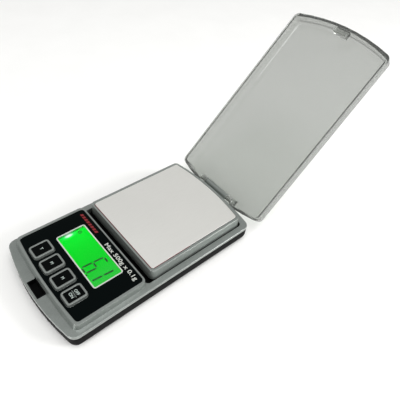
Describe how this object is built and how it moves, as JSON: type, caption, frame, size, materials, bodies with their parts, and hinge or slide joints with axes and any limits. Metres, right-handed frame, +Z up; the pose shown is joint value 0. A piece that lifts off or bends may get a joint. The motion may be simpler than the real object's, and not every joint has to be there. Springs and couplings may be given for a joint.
{
  "type": "pocket gram scale",
  "caption": "Flat pocket scale with a square steel pan at the back, a dark key panel with a lit display in front and a clear cover on a rear hinge, standing open",
  "frame": {"origin": "bottom centre of the bounding box with the cover open, on the table", "axes": "+X to the user's right, +Y from the keys towards the cover's hinge, +Z up"},
  "size_m": [0.0656, 0.2066, 0.0901],
  "materials": {
    "silver_plastic": "satin silver sprayed ABS",
    "black_plastic": "fine spark-textured black ABS",
    "gloss_black": "polished near-black acrylic sheet",
    "clear_plastic": "clear lightly smoked polystyrene",
    "display_green": "lit green display glass",
    "plate_steel": "satin stainless steel sheet",
    "bright_steel": "zinc plated steel",
    "alloy": "machined aluminium",
    "foot_rubber": "moulded rubber",
    "dark_rubber": "carbon-loaded silicone",
    "board_green": "green solder mask",
    "white_plastic": "white ABS",
    "foam": "foam tape",
    "silicone": "white silicone coating",
    "cell_sleeve": "printed cell sleeve",
    "red_wire": "red insulation",
    "black_wire": "black insulation",
    "grey_wire": "grey insulation"
  },
  "bodies": {
    "body": {"base_shell": "black_plastic", "rubber_foot_front_left": "foot_rubber", "rubber_foot_front_right": "foot_rubber", "rubber_foot_back_left": "foot_rubber", "rubber_foot_back_right": "foot_rubber", "upper_casing": "silver_plastic", "panel_overlay": "gloss_black", "tact_switch_tare": "bright_steel", "tact_switch_mode_left": "bright_steel", "tact_switch_mode_right": "bright_steel", "tact_switch_power": "bright_steel", "display_window": "clear_plastic", "lcd_glass": "display_green", "display_backlight": "white_plastic", "contact_strip": "dark_rubber", "display_holder": "white_plastic", "circuit_board": "board_green", "controller_chip": "black_plastic", "amplifier_chip": "black_plastic", "board_screw_1": "bright_steel", "board_screw_2": "bright_steel", "load_cell": "alloy", "gauge_coating": "silicone", "load_cell_screw_1": "bright_steel", "load_cell_screw_2": "bright_steel", "aaa_cell_front": "cell_sleeve", "aaa_cell_back": "cell_sleeve", "contact_bridge": "bright_steel", "contact_negative": "bright_steel", "contact_positive": "bright_steel", "contact_spring_front": "bright_steel", "contact_spring_back": "bright_steel", "battery_lead_red": "red_wire", "battery_lead_black": "black_wire", "load_cell_lead": "grey_wire", "case_screw_1": "bright_steel", "case_screw_2": "bright_steel", "case_screw_3": "bright_steel", "case_screw_4": "bright_steel", "hinge_pin": "bright_steel", "latch_socket": "black_plastic"},
    "lid": {"lid": "clear_plastic"},
    "pan": {"pan_carrier": "silver_plastic", "foam_tape": "foam", "weighing_plate": "plate_steel", "load_cell_screw_3": "bright_steel", "load_cell_screw_4": "bright_steel"},
    "battery_door": {"battery_door": "black_plastic"},
    "key_tare": {"key_cap_tare": "silver_plastic", "key_label_tare": "gloss_black", "switch_plunger_tare": "white_plastic"},
    "key_mode_left": {"key_cap_mode_left": "silver_plastic", "key_label_mode_left": "gloss_black", "switch_plunger_mode_left": "white_plastic"},
    "key_mode_right": {"key_cap_mode_right": "silver_plastic", "key_label_mode_right": "gloss_black", "switch_plunger_mode_right": "white_plastic"},
    "key_power": {"key_cap_power": "silver_plastic", "key_label_power": "gloss_black", "switch_plunger_power": "white_plastic"}
  },
  "joints": [
    {"name": "lid_hinge", "type": "hinge", "parent": "body", "child": "lid", "pos_m": [0, 0.01306, 0.0098], "axis": [1, 0, 0], "range_deg": [0, 136.7]},
    {"name": "pan_press", "type": "slide", "parent": "body", "child": "pan", "axis": [0, 0, -1], "range_m": [0, 0.0004], "stiffness_N_per_m": 8000, "springref_m": -0.0001, "deforming": ["load_cell"]},
    {"name": "battery_door_slide", "type": "slide", "parent": "body", "child": "battery_door", "axis": [0, 1, 0], "range_m": [0, 0.034]},
    {"name": "key_tare_press", "type": "slide", "parent": "body", "child": "key_tare", "axis": [0, 0, -1], "range_m": [0, 0.0004], "stiffness_N_per_m": 2000, "springref_m": -0.0004},
    {"name": "key_mode_left_press", "type": "slide", "parent": "body", "child": "key_mode_left", "axis": [0, 0, -1], "range_m": [0, 0.0004], "stiffness_N_per_m": 2000, "springref_m": -0.0004},
    {"name": "key_mode_right_press", "type": "slide", "parent": "body", "child": "key_mode_right", "axis": [0, 0, -1], "range_m": [0, 0.0004], "stiffness_N_per_m": 2000, "springref_m": -0.0004},
    {"name": "key_power_press", "type": "slide", "parent": "body", "child": "key_power", "axis": [0, 0, -1], "range_m": [0, 0.0004], "stiffness_N_per_m": 2000, "springref_m": -0.0004}
  ]
}
